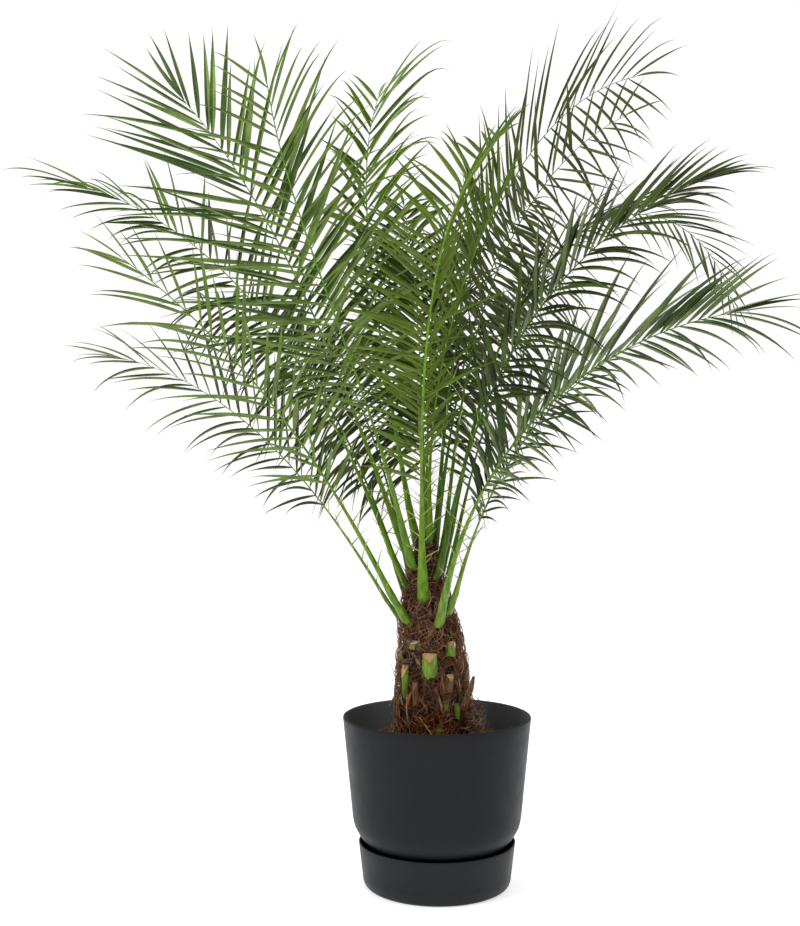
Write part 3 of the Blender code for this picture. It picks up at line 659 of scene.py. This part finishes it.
# Angles are in degrees: side and bearing are where a stalk leaves the trunk and where it heads, rise is how
# steeply it starts, arch and sweep are how far it bends down and round, and vee is how far the leaflets lift.
# Leaflets stand off the rib by open at the foot and shut at the tip. Leaf is their length, tipLeaf what is
# left of it at the tip, and blade their width. Of a pair, the first is for the row on the plus side.
lineNames = ("height", "side", "bearing", "length", "rise", "arch", "sweep")
frondDefaults = dict(bend=1.6, roll=(0, 0), vee=10, leaf=0.165, tipLeaf=0.75, droop=0.35, start=0.38,
    girth=0.9, open=72, shut=26, openPower=1.8, flatten=0.0, hook=0.5, twist=18, pairs=38, blade=0.0066,
    tone="deep", spines=9)
fronds = [
    ((0.452, -98, -94, 0.86, 69, 63, 21), dict(bend=1.45, vee=(18, 60), leaf=(0.145, 0.135),
      tipLeaf=(0.22, 0.55), droop=(0.25, 0.12), start=0.22, girth=1.0, shut=(38, 22), pairs=46,
      blade=0.0056, tone="fresh", hook=0.7)),
    ((0.418, -146, -156, 0.695, 62, 28, 1), dict(bend=1.45, roll=(0, -15), vee=(-5, 20), leaf=(0.215, 0.18),
      tipLeaf=(0.44, 0.46), droop=(0.35, 0.2), pairs=21, start=0.33, tone="mid", blade=(0.0056, 0.0085),
      open=(72, 58), shut=(26, 22), twist=(15, 10), hook=0.3, girth=1.15)),
    ((0.419, -69, -35, 0.7, 81, 77, -5), dict(bend=1.0, vee=(-62, 52), leaf=(0.115, 0.222),
      tipLeaf=(1.65, 0.5), flatten=0.4, droop=(0.65, 0.25), pairs=44, start=0.3, tone="grey",
      blade=(0.005, 0.0098), twist=(20, -15), open=(60, 72), shut=(24, 22), openPower=2.2, girth=1.15)),
    ((0.49, -45, -28, 0.75, 79, 65, -4), dict(bend=1.5, vee=(-55, 50), leaf=(0.19, 0.205),
      tipLeaf=(0.6, 0.4), flatten=0.6, shut=(20, 26), open=60, openPower=2.0, droop=(0.7, 0.12), pairs=37,
      blade=(0.0058, 0.0096), twist=(20, -15), start=0.34)),
    ((0.5, 140, 144, 0.966, 66, 21, 3), dict(bend=1.9, roll=(30, 40), vee=(34, 5), leaf=(0.262, 0.288),
      tipLeaf=(0.74, 0.64), droop=0.14, open=(58, 72), shut=(18, 10), openPower=2.6, tone="light", pairs=35,
      blade=(0.0108, 0.0084), start=0.32, hook=0.15)),
    ((0.503, -139, -125, 0.845, 73, 51, 35), dict(bend=0.87, vee=(-10, 42), leaf=(0.17, 0.205),
      tipLeaf=(0.58, 0.52), droop=(0.25, 0.5), tone="mid", blade=0.0045, start=0.29)),
    ((0.535, 134, 121.5, 0.965, 71, 25, -46), dict(bend=1.45, vee=(25, 45), leaf=(0.185, 0.112),
      tipLeaf=(1.5, 0.8), open=(52, 76), shut=(20, 52), droop=(0.5, 0.1), pairs=29, blade=(0.008, 0.0108),
      tone="lit", twist=(18, 15), hook=1.1)),
    ((0.533, 42, 28, 0.97, 86, 69, 5), dict(bend=1.9, roll=(15, 30), vee=(35, -62), leaf=(0.19, 0.195),
      tipLeaf=(0.78, 0.6), open=(66, 104), shut=(16, 30), droop=(0.4, 1.9), pairs=34,
      blade=(0.0096, 0.0088), twist=(10, 30), start=0.3)),
    ((0.468, 158, 159, 0.938, 67.5, 50, 1), dict(vee=(35, -45), leaf=(0.245, 0.125), open=(56, 92),
      shut=(13, 6), tipLeaf=(0.86, 1.0), droop=(0.3, 0.6), tone="mid", blade=(0.0072, 0.0066), start=0.3,
      flatten=0.8, twist=(15, 20))),
    ((0.41, 180, 166, 0.685, 58, 48, -8), dict(bend=1.7, roll=(0, 10), vee=(34, -30), leaf=(0.225, 0.125),
      tipLeaf=(0.8, 0.85), open=(46, 72), droop=(0.3, 0.8), pairs=22, blade=(0.006, 0.0048), start=0.32,
      girth=0.7, tone="grey", shut=10, twist=(15, 20), flatten=0.9)),
    ((0.518, -6, 16, 0.813, 84, 56, 4), dict(bend=2.1, roll=(10, 20), vee=(45, -45), leaf=(0.15, 0.19),
      tipLeaf=0.6, droop=(0.2, 0.7), pairs=26, blade=(0.0088, 0.0046), open=(66, 80), twist=(10, 20),
      shut=(32, 26))),
    ((0.545, -60, -60, 0.565, 98, 63, -7), dict(bend=0.98, vee=(50, 60), leaf=(0.13, 0.12), tipLeaf=0.7,
      open=62, droop=0.15, start=0.3, girth=0.7, tone="fresh", pairs=30, blade=0.006, hook=1.2)),
    ((0.489, 25, 33, 1.1, 77, 144, 3), dict(bend=2.2, roll=(0, -10), vee=(30, -40), leaf=0.185, tipLeaf=0.5,
      droop=0.6, pairs=34, blade=0.0046, twist=25, open=38, shut=13)),
    ((0.43, -38, -18, 0.47, 76, 45, -1), dict(bend=1.4, vee=(-45, 30), leaf=(0.1, 0.13), tipLeaf=(0.5, 0.7),
      pairs=20, droop=(0.7, 0.4), start=0.3, girth=1.0, tone="grey", blade=(0.0042, 0.0075), twist=(20, 15),
      open=(62, 66))),
    ((0.492, 66, 62, 0.85, 75, 52, 4), dict(vee=(-60, 50), leaf=(0.165, 0.19), droop=(1.2, 0.3),
      open=(90, 66), start=0.26, twist=(60, 20))),
    ((0.47, 86, 88, 0.88, 67, 58, -4), dict(vee=35, leaf=0.18, start=0.26)),
    ((0.43, 114, 112, 0.8, 60, 52, 3), dict(vee=(30, -70), droop=(0.4, 1.4), open=(66, 90), start=0.26,
      twist=(20, 60))),
    ((0.43, 56, 66, 0.9, 61, 48, -3), dict(vee=(-70, 30), droop=(1.4, 0.4), open=(90, 66), start=0.26,
      twist=(60, 20))),
    ((0.543, 90, 98, 0.64, 84, 44, 0), dict(girth=0.6, start=0.26, leaf=0.13, tone="fresh", blade=0.0085)),
    ((0.44, 138, 135, 0.8, 66, 58, 0), dict(vee=(30, -70), droop=(0.4, 1.4), open=(66, 90), start=0.26,
      twist=(20, 60))),
]
# widths at the foot, the neck, the first leaflets and the tip; the heel runs back under the fibre
stalk = dict(foot=0.0185, footEnd=0.035, footTaper=0.86, neckAt=0.10, neck=0.0100, bladeStart=0.0043,
             tip=0.0012, flat=0.72, heelFlat=0.6, crowding=1.25, sink=0.0035, sinkTo=0.06,
             heelBack=0.012, heelIn=0.006, half=0.0075, clear=0.0009, fineSteps=240)
# spines: lower leaflets that stay short and stiff
spine = dict(fromShare=0.07, gap=0.08, rootSide=0.42, open=(38, 75), vee=(-10, 45),
             lengths=(0.018, 0.030), growth=0.030, droop=(-0.05, 0.12),
             widths=[0.0012, 0.0010, 0.0008, 0.0006, 0.0004, 0.0001])
# a leaflet's outline, and how much it differs from its neighbours: angles in degrees, thick in metres and
# the rest in shares
habit = dict(
    widths=[0.32, 0.66, 0.88, 0.98, 1.0, 0.96, 0.88, 0.77, 0.63, 0.46, 0.28, 0.12, 0.04],
    thick=0.00045, fold=0.6, rootSide=0.36, rootLift=0.08, swell=(0.62, 0.3), fadeFrom=0.5,
    tuftOpen=2.5, tuftVee=6.0, shift=0.2, stagger=0.22, gather=0.08, crowding=0.25,
    open=3.0, vee=5.0, lowVee=18.0, looseTo=0.4, shortest=(0.84, 0.3), longest=(1.10, 0.15), last=0.85,
    twist=12, sags=(0.5, 0.8, 1.0, 1.2, 1.9), stiffTip=0.4, swerve=0.12, hooks=(0, 0.5, 1.0, 1.5),
    breadths=(0.85, 1.12), tipBreadth=0.72, shades=((0, 1), (0, 1), (0, 1), (0, 0), (1, 1)),
)
# fresh stalk: smooth waxy green, with scattered rust freckles
freshStalk = dict(roughness=0.42, specular=0.28, patch=(0.006, 3.0), grain=(0.0015, 2.0), depth=0.0002,
                  squeeze=0.2, freckles=(0.0035, 2.0, 0.70, 0.78), rust="#7A5224")
stalkColours = dict(
    lit=("litStalkSkin", "#466A06", "#6E901C"), fresh=("youngStalkSkin", "#4C7000", "#6C9210"),
    mid=("grownStalkSkin", "#466A06", "#6E901C"), light=("outerStalkSkin", "#4C6E0E", "#70922C"),
    deep=("shadedStalkSkin", "#36540A", "#547618"), grey=("oldStalkSkin", "#52721A", "#7C9C3C"),
)
# dark and light of a leaflet's bright half, of its dark half and of its underside; the bright and dark halves
# are painted light and painted shade on the two sides of its fold
leafColours = dict(
    # painted light: lit is a brighter copy of mid, for a frond whose leaflets face away from the lamps
    lit=("#5C7A1A", "#7E9A34", "#3E5810", "#526E18", "#5E7828", "#7A943E"),
    fresh=("#44580E", "#5A7818", "#283608", "#384E0E", "#4A5C14", "#607620"),
    mid=("#49601A", "#69842E", "#25360E", "#3B4E1A", "#51642A", "#6D843A"),
    light=("#607639", "#849E4F", "#3A4E1D", "#526A2F", "#667A45", "#86985D"),
    # painted shade: deep is a darker copy, for the fronds that sit in the shade of the crown
    deep=("#354412", "#4F6222", "#1B1E08", "#2F3C12", "#3D481C", "#59662E"),
    # grey is a paler grey-green, partly the leaflets' own bloom and partly painted sheen
    grey=("#53643A", "#7F9058", "#2F3E1E", "#4B5C34", "#63704A", "#8D9672"),
)
leafSkin = dict(patch=0.045, foldFrom=0.02, foldTo=0.12, foldShare=0.30, dryFrom=0.90, dryShare=0.8,
                straw="#A09A6C", veins=6, veinDepth=0.00012, veinStrength=0.35,
                # Bright and Dark carry the painted light and painted shade of a leaflet's two halves
                sides=(("Bright", 0.40, 0.3), ("Dark", 0.46, 0.25), ("Under", 0.55, 0.25)))


def makeLeafMaterial(name, dark, light, roughness, specular):
    # living palm leaflet: a thin waxy skin over fine parallel veins, so it shines softly along its length,
    # with a paler fold line and a dry straw-coloured hair at the tip
    look = leafSkin
    material, tree, shader = newMaterial(name, roughness, specular)
    coords = addNode(tree, "TexCoord")
    blade = addNode(tree, "SeparateXYZ", {0: coords["UV"]})
    patches = patchy(tree, coords["Object"], look["patch"])
    tint = addNode(tree, "Mix", {0: patches, 6: dark, 7: light}, colourMix)[2]
    middle = addNode(tree, "Math", {0: blade["X"], 1: 0.5}, {"operation": "SUBTRACT"})
    away = addNode(tree, "Math", {0: middle[0]}, {"operation": "ABSOLUTE"})
    fold = addNode(tree, "MapRange", {"From Min": look["foldFrom"], "From Max": look["foldTo"],
                                      "To Min": look["foldShare"], "To Max": 0.0, "Value": away[0]})
    tint = addNode(tree, "Mix", {0: fold[0], 6: tint, 7: light}, colourMix)[2]
    dry = addNode(tree, "MapRange", {"From Min": look["dryFrom"], "From Max": 1.0, "To Min": 0.0,
                                     "To Max": look["dryShare"], "Value": blade["Y"]})
    tint = addNode(tree, "Mix", {0: dry[0], 6: tint, 7: look["straw"]}, colourMix)[2]
    # fewer veins than a real leaflet has, so that they show
    waves = 2 * pi * look["veins"]
    veins = addNode(tree, "Math", {0: blade["X"], 1: waves}, {"operation": "MULTIPLY"})
    wave = addNode(tree, "Math", {0: veins[0]}, {"operation": "SINE"})
    bump = addNode(tree, "Bump", {"Strength": look["veinStrength"], "Height": wave[0],
                                  "Distance": look["veinDepth"]})
    setInputs(tree, shader, {"Base Color": tint, "Normal": bump[0]})
    return material


def widthAt(frond, s):
    # stalk width at a share s of its length
    line = [(0.0, stalk["foot"]), (stalk["footEnd"], stalk["foot"] * stalk["footTaper"]),
            (stalk["neckAt"], stalk["neck"]), (frond["start"], stalk["bladeStart"]), (1.0, stalk["tip"])]
    return float(np.interp(s, *zip(*line))) * (frond["girth"] if s < 0.99 else 1.0)


def heading(frond, s):
    # the stalk's direction at a share s of its length, and the directions across it and up from it
    climb = radians(frond["rise"] - frond["arch"] * s ** frond["bend"])
    turn = radians(frond["bearing"] + frond["sweep"] * s ** 1.3)
    tangent = Vector((cos(climb) * cos(turn), cos(climb) * sin(turn), sin(climb)))
    level = Vector((sin(turn), -cos(turn), 0))
    upright = level.cross(tangent)
    roll = radians(frond["roll"][0] + (frond["roll"][1] - frond["roll"][0]) * s)
    across = level * cos(roll) + upright * sin(roll)
    return tangent, across, upright * cos(roll) - level * sin(roll)


def frondLine(frond):
    # the rib's line from the trunk to its tip, in fine steps; it starts clear of the trunk
    side, height = radians(frond["side"]), frond["height"]
    askew = abs(sin(radians(frond["side"] - frond["bearing"])))
    reach = trunkRadius(height) + stalk["clear"] + stalk["half"] * frond["girth"] * (0.75 + askew)
    spot = Vector((trunkCentre(height) + reach * cos(side), reach * sin(side), height))
    fine = stalk["fineSteps"]
    line = [spot.copy()]
    for i in range(fine):
        spot = spot + heading(frond, (i + 0.5) / fine)[0] * (frond["length"] / fine)
        line.append(spot.copy())
    return line


def spotAt(line, s):
    place = min(max(s, 0.0), 1.0) * (len(line) - 1)
    low = min(int(place), len(line) - 2)
    return line[low].lerp(line[low + 1], place - low)


def leafletLength(row, u):
    low, full = habit["swell"]
    swell = low + (1 - low) * min(1.0, u / full)
    late = max(0.0, (u - habit["fadeFrom"]) / (1 - habit["fadeFrom"]))
    fade = 1 - (1 - row["tipLeaf"]) * late ** 1.4
    return row["leaf"] * swell * fade


def growLine(root, first, wide, length, droop, rings, swerve=Vector(), hook=0.0):
    # a blade's line that starts towards first, bends down along its length and nods at its end
    spots, across, upper = [root.copy()], [], []
    spot = root.copy()
    for i in range(rings):
        share = (i + 0.5) / rings
        ahead = (first + swerve * share - up * (droop * share ** 1.5 + hook * share ** 7)).normalized()
        if i < rings - 1:
            spot = spot + ahead * (length / (rings - 1))
            spots.append(spot.copy())
        flat = (wide - ahead * wide.dot(ahead)).normalized()
        across.append(flat)
        upper.append(ahead.cross(flat))
    return spots, across, upper


def leanOut(axes, side, openBy, vee):
    # away from the rib by openBy, and up by vee
    tangent, aside, above = axes
    outwards = aside * (side * cos(vee)) + above * sin(vee)
    return (tangent * cos(openBy) + outwards * sin(openBy)).normalized()


def growStalk(name, frond, line):
    # stalk and rib, with a heel that runs back under the fibre
    rings = stalkPattern["rings"]
    out = compass(frond["side"])
    copy = []
    for i in range(rings):
        s = max(0.0, (i - 1) / (rings - 2)) ** stalk["crowding"]
        tangent, aside, above = heading(frond, s)
        spot = spotAt(line, s) - out * (stalk["sink"] * max(0.0, 1 - s / stalk["sinkTo"]))
        if i == 0:
            spot = spot - tangent * stalk["heelBack"] - out * stalk["heelIn"]
        half = widthAt(frond, s) / 2
        copy.append((spot, aside, above, half, half * stalk["flat" if s > 0.05 else "heelFlat"]))
    return layPieces(name, stalkPattern, [list(zip(*copy))])


def growSpines(name, frond, line, rnd):
    copies = []
    for i in range(frond["spines"]):
        share = (i + rnd.uniform(0.1, 0.9)) / frond["spines"]
        s = spine["fromShare"] + (frond["start"] - spine["gap"]) * share
        axes = heading(frond, s)
        side = 1 if i % 2 else -1
        spot = spotAt(line, s) + axes[1] * (side * widthAt(frond, s) * spine["rootSide"])
        openBy = radians(rnd.uniform(*spine["open"]))
        first = leanOut(axes, side, openBy, radians(rnd.uniform(*spine["vee"])))
        length = rnd.uniform(*spine["lengths"]) + spine["growth"] * share
        blade = growLine(spot, first, axes[0], length, rnd.uniform(*spine["droop"]), spinePattern["rings"])
        copies.append((*blade, spine["widths"], spine["widths"]))
    return layPieces(name, spinePattern, copies)


def growLeaflets(name, frond, line, rnd):
    # two rows and one leaflet at the tip, each with a little of its own angle, length and sag
    copies, shades = [], []
    pairs = frond["pairs"]
    rows = {side: {key: value[side < 0] if isinstance(value, tuple) else value
                   for key, value in frond.items()} for side in (1, -1)}
    tuft = {1: (0, 0), -1: (0, 0)}
    for i in range(2 * pairs + 1):
        side = 1 if i % 2 == 0 else -1
        row = rows[side]
        last = i == 2 * pairs
        if i % 6 < 2:  # three neighbours lean together
            tuft[side] = rnd.gauss(0, habit["tuftOpen"]), rnd.gauss(0, habit["tuftVee"])
        shift = rnd.uniform(-habit["shift"], habit["shift"]) + habit["stagger"] * side
        place = (i // 2 + 0.5 + (shift - habit["gather"] * (i // 2 % 3 - 1))) / pairs
        # they stand closer together near the foot than near the tip
        u = 1.0 if last else (1 - habit["crowding"]) * place + habit["crowding"] * place ** 3
        s = frond["start"] + (1 - frond["start"]) * min(max(u, 0.0), 1.0)
        axes = tangent, aside, above = heading(frond, s)
        rib = widthAt(frond, s)
        root = spotAt(line, s) + aside * (side * rib * habit["rootSide"]) + above * (rib * habit["rootLift"])
        openBy = radians(row["open"] + (row["shut"] - row["open"]) * u ** frond["openPower"]
                         + tuft[side][0] + rnd.gauss(0, habit["open"]))
        vee = radians(row["vee"] * (1 - frond["flatten"] * u ** 3) + tuft[side][1]
                      + rnd.gauss(0, habit["vee"]) + (1 - u) ** 1.5 * rnd.gauss(0, habit["lowVee"]))
        loose = max(0.0, 1 - u / habit["looseTo"])  # the lowest leaflets are the most uneven
        length = leafletLength(row, u) * rnd.uniform(habit["shortest"][0] - habit["shortest"][1] * loose,
                                                     habit["longest"][0] + habit["longest"][1] * loose)
        if last:
            openBy, length = 0.0, leafletLength(rows[-1], 1) * habit["last"]
        first = leanOut(axes, side, openBy, vee)
        tilt = radians(rnd.gauss(row["twist"], habit["twist"]))
        wide = tangent * cos(tilt) + above * sin(tilt) if not last else aside
        droop = row["droop"] * rnd.choice(habit["sags"]) * (1 - habit["stiffTip"] * u * u)
        swerve = wide * rnd.gauss(0, habit["swerve"])
        hook = frond["hook"] * rnd.choice(habit["hooks"])
        spots, sides, tops = growLine(root, first, wide, length, droop, leafletPattern["rings"], swerve, hook)
        if sum(t.dot(above) for t in tops) < 0:
            tops = [-t for t in tops]
        narrow = habit["tipBreadth"] + (1 - habit["tipBreadth"]) * min(1.0, (1 - u) / 0.25 + 0.2)
        broad = row["blade"] * rnd.uniform(*habit["breadths"]) / 2 * narrow
        copies.append((spots, sides, tops, [w * broad for w in habit["widths"]],
                       [habit["thick"] * max(w, 0.25) for w in habit["widths"]]))
        # one half of the upper face takes the painted-light colour and the other the painted-shade colour,
        # now and then both the same; the underside gets its own
        near, far = rnd.choice(habit["shades"])
        shades.append([2 if not lifted else far if forward else near
                       for lifted, forward in zip(leafletPattern["upper"], leafletPattern["ahead"])])
    return layPieces(name, leafletPattern, copies, shades, habit["fold"])


def makeFronds():
    leafTones = {tone: [makeLeafMaterial(tone + "Leaflet" + half, *colours[2 * k:2 * k + 2], *finish)
                        for k, (half, *finish) in enumerate(leafSkin["sides"])]
                 for tone, colours in leafColours.items()}
    stalkTones = {tone: makeMottled(*colours, freshStalk) for tone, colours in stalkColours.items()}
    spineTone = makeMottled("spineSkin", "#8C9A4A", "#B8B878", freshStalk, rust="#A08A50")
    for number, (place, own) in enumerate(fronds, 1):
        frond = {**frondDefaults, **dict(zip(lineNames, place)), **own}
        name, nodes = "frond%02d" % number, ["frond_%02d" % number]
        rnd = random.Random(700 + number)
        line = frondLine(frond)
        rib = growStalk(name + "Stalk", frond, line)
        finishPiece(rib, nodes, [stalkTones[frond["tone"]]], 40)
        spines = growSpines(name + "Spines", frond, line, rnd)
        finishPiece(spines, nodes, [spineTone], 60)
        leaflets = growLeaflets(name + "Leaflets", frond, line, rnd)
        finishPiece(leaflets, nodes, leafTones[frond["tone"]], 30)
        print("frond", number)


makeFronds()


spear = dict(foot=(-0.018, 0.0, 0.5455), length=0.30, lean=(-0.04, 0.02, 1.0), blades=9, seed=3,
             stagger=0.06, apart=0.0022, sunk=0.004, lengths=(0.72, 0.80), splay=(-0.004, 0.012),
             width=0.0034, thick=0.0011, fold=0.3)


def makeSpear():
    # the youngest leaf: folded blades pressed together, with grey scurf along the folds
    lean = Vector(spear["lean"]).normalized()
    rnd = random.Random(spear["seed"])
    side = Vector((1, 0, 0))
    copies = []
    for i in range(spear["blades"]):
        turn = 2 * pi * i / spear["blades"]
        aside = side * cos(turn) + lean.cross(side) * sin(turn)
        root = Vector(spear["foot"]) + lean * rnd.uniform(0, spear["stagger"])
        root = root + aside * spear["apart"] - lean * spear["sunk"]
        length = spear["length"] * rnd.uniform(*spear["lengths"])
        first = (lean + aside * rnd.uniform(*spear["splay"])).normalized()
        blade = growLine(root, first, lean.cross(aside), length, 0.0, leafletPattern["rings"])
        copies.append((*blade, [w * spear["width"] for w in habit["widths"]],
                       [spear["thick"] * max(w, 0.3) for w in habit["widths"]]))
    scurf = makeMottled("foldedSpearSkin", "#5A6A34", "#96986A", stalkSkin, roughness=0.6)
    leaf = layPieces("spearLeaf", leafletPattern, copies, fold=spear["fold"])
    finishPiece(leaf, ["spear"], [scurf], 40)


makeSpear()
print("spear")
